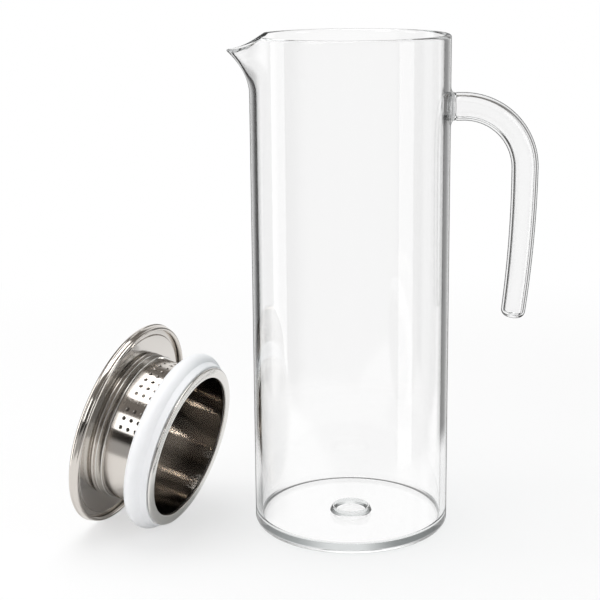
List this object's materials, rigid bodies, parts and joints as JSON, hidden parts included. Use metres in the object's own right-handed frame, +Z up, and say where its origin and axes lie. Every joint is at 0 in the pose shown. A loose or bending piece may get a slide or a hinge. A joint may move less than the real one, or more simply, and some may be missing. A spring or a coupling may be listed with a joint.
{
  "type": "glass pitcher with strainer lid",
  "caption": "Tall clear glass pitcher with a pulled spout and a hollow open-ended glass handle, beside its steel strainer lid with a soft sealing ring, lying on its side.",
  "frame": {"origin": "middle of the flat underside of the glass, on the surface that it stands on", "axes": "+Z up along the glass's axis, +X towards the handle, -X towards the spout, -Y towards the viewer of the picture"},
  "size_m": [0.2381, 0.1047, 0.2525],
  "materials": {
    "clear_glass": "blown and fire-polished clear glass",
    "brushed_steel": "stainless steel, turned and finely brushed round its axis",
    "bright_steel": "stainless steel, rolled edges polished bright",
    "white_silicone": "moulded white silicone, satin"
  },
  "bodies": {
    "pitcher": {"glass_body": "clear_glass", "handle_foot": "clear_glass", "handle_tube": "clear_glass"},
    "seal": {"seal_ring": "white_silicone"},
    "lid": {"end_ring": "bright_steel", "strainer_tube": "brushed_steel", "crimp_collar": "bright_steel", "neck_socket": "brushed_steel", "cap_underplate": "brushed_steel", "cap_shell": "brushed_steel"}
  },
  "joints": [
    {"name": "lid_lift", "type": "slide", "parent": "pitcher", "child": "seal", "axis": [0, 0, 1], "range_m": [0, 0.3]},
    {"name": "lid_turn", "type": "hinge", "parent": "seal", "child": "lid", "pos_m": [-0.08233, -0.012, 0.04386], "axis": [0.8967, -0.3806, -0.2261], "continuous": true}
  ]
}
